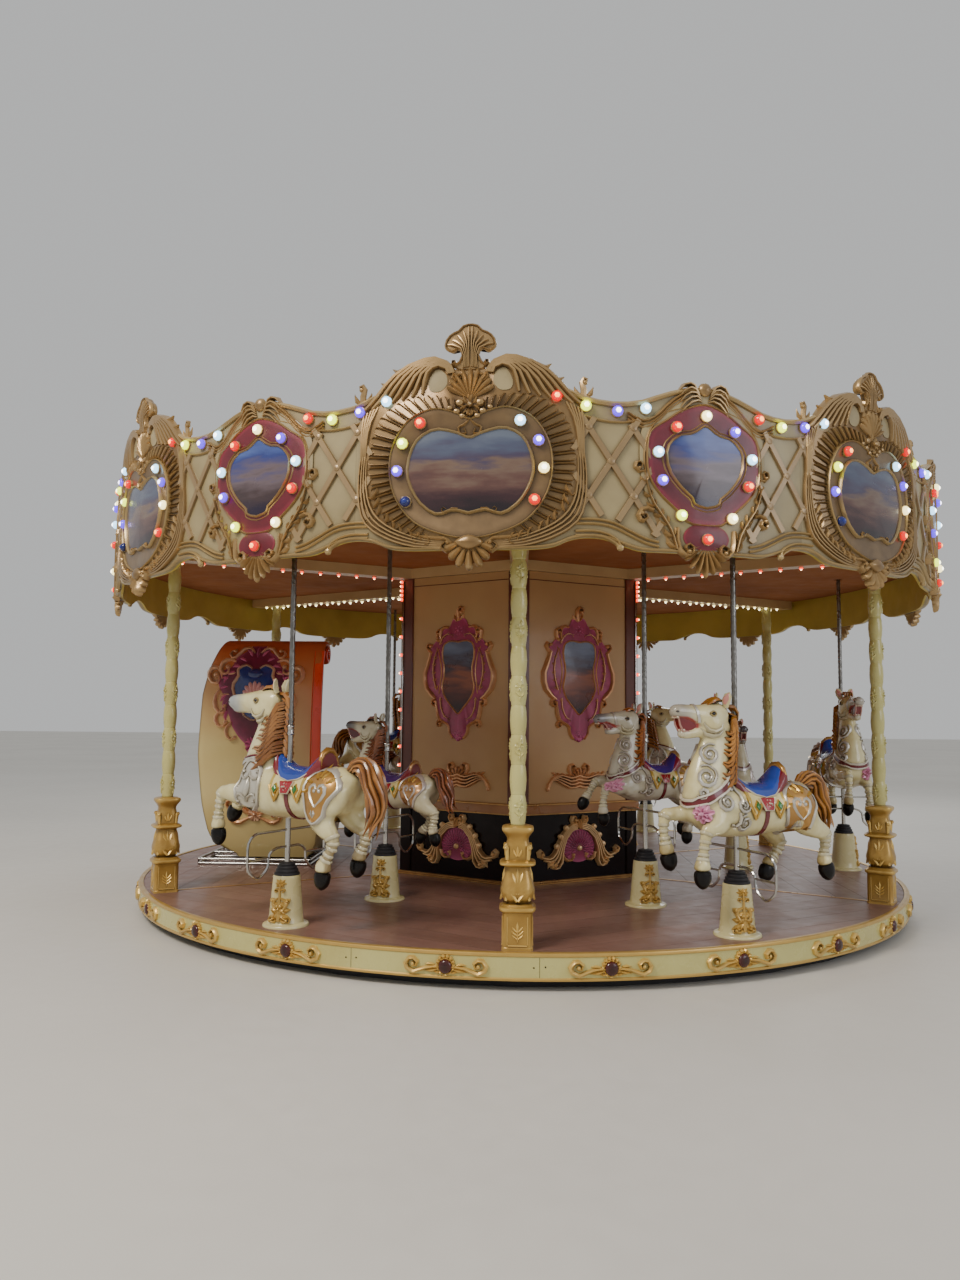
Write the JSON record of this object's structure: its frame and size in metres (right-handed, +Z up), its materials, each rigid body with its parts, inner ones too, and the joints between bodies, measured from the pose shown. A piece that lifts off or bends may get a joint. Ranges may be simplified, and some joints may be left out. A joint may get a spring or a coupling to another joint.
{
  "type": "fairground carousel",
  "caption": "Small fairground carousel: a round turning deck with rising horses on poles, a chariot, gold pillars, a six-sided core and a carved crown.",
  "frame": {"origin": "on the turning axis, at ground level under the base", "axes": "+Z up along the turning axis; -Y towards the front pillar between the two front sectors; the horses face clockwise seen from above"},
  "size_m": [6.69, 6.69, 3.72],
  "materials": {
    "black_paint": "satin",
    "cream_gloss": "gloss",
    "dark_gloss": "gloss",
    "panel_cream": "satin",
    "ceiling_paint": "satin",
    "roof_cover": "matt",
    "chariot_paint": "gloss",
    "deck_boards": "satin",
    "antique_gold": "satin",
    "crown_gilt": "satin",
    "polished_steel": "polished",
    "horse_enamel": "gloss"
  },
  "bodies": {
    "base": {"base_plinth": "black_paint"},
    "turntable": {"turntable_bed": "black_paint", "fascia_ring": "cream_gloss", "deck_sector_1": "deck_boards", "deck_sector_2": "deck_boards", "deck_sector_3": "deck_boards", "deck_sector_4": "deck_boards", "deck_sector_5": "deck_boards", "deck_sector_6": "deck_boards", "pillar_1": "antique_gold", "pillar_2": "antique_gold", "pillar_3": "antique_gold", "pillar_4": "antique_gold", "pillar_5": "antique_gold", "pillar_6": "antique_gold", "core_plinth": "dark_gloss", "core_housing": "panel_cream", "canopy_frame": "cream_gloss", "ceiling": "ceiling_paint", "roof": "roof_cover", "chariot_body": "chariot_paint", "chariot_shell": "chariot_paint", "crown_board_1": "crown_gilt", "crown_board_2": "crown_gilt", "crown_board_3": "crown_gilt", "crown_board_4": "crown_gilt", "crown_board_5": "crown_gilt", "crown_board_6": "crown_gilt", "crown_board_7": "crown_gilt", "crown_board_8": "crown_gilt", "guide_cone_1": "cream_gloss", "guide_cone_2": "cream_gloss", "guide_cone_3": "cream_gloss", "guide_cone_4": "cream_gloss", "guide_cone_5": "cream_gloss", "guide_cone_6": "cream_gloss", "guide_cone_7": "cream_gloss", "guide_cone_8": "cream_gloss", "guide_cone_9": "cream_gloss", "guide_cone_10": "cream_gloss"},
    "ride_1": {"horse_1": "horse_enamel", "pole_1": "polished_steel"},
    "ride_2": {"horse_2": "horse_enamel", "pole_2": "polished_steel"},
    "ride_3": {"horse_3": "horse_enamel", "pole_3": "polished_steel"},
    "ride_4": {"horse_4": "horse_enamel", "pole_4": "polished_steel"},
    "ride_5": {"horse_5": "horse_enamel", "pole_5": "polished_steel"},
    "ride_6": {"horse_6": "horse_enamel", "pole_6": "polished_steel"},
    "ride_7": {"horse_7": "horse_enamel", "pole_7": "polished_steel"},
    "ride_8": {"horse_8": "horse_enamel", "pole_8": "polished_steel"},
    "ride_9": {"horse_9": "horse_enamel", "pole_9": "polished_steel"},
    "ride_10": {"horse_10": "horse_enamel", "pole_10": "polished_steel"}
  },
  "joints": [
    {"name": "turntable_turn", "type": "hinge", "parent": "base", "child": "turntable", "pos_m": [0, 0, 0.06], "axis": [0, 0, 1], "continuous": true},
    {"name": "horse_1_rise", "type": "slide", "parent": "turntable", "child": "ride_1", "axis": [0, 0, 1], "range_m": [-0.07, 0.15]},
    {"name": "horse_2_rise", "type": "slide", "parent": "turntable", "child": "ride_2", "axis": [0, 0, 1], "range_m": [-0.055, 0.165]},
    {"name": "horse_3_rise", "type": "slide", "parent": "turntable", "child": "ride_3", "axis": [0, 0, 1], "range_m": [-0.002, 0.218]},
    {"name": "horse_4_rise", "type": "slide", "parent": "turntable", "child": "ride_4", "axis": [0, 0, 1], "range_m": [-0.135, 0.085]},
    {"name": "horse_5_rise", "type": "slide", "parent": "turntable", "child": "ride_5", "axis": [0, 0, 1], "range_m": [-0.105, 0.115]},
    {"name": "horse_6_rise", "type": "slide", "parent": "turntable", "child": "ride_6", "axis": [0, 0, 1], "range_m": [-0.035, 0.185]},
    {"name": "horse_7_rise", "type": "slide", "parent": "turntable", "child": "ride_7", "axis": [0, 0, 1], "range_m": [-0.02, 0.2]},
    {"name": "horse_8_rise", "type": "slide", "parent": "turntable", "child": "ride_8", "axis": [0, 0, 1], "range_m": [-0.15, 0.07]},
    {"name": "horse_9_rise", "type": "slide", "parent": "turntable", "child": "ride_9", "axis": [0, 0, 1], "range_m": [-0.165, 0.055]},
    {"name": "horse_10_rise", "type": "slide", "parent": "turntable", "child": "ride_10", "axis": [0, 0, 1], "range_m": [-0.045, 0.175]}
  ]
}
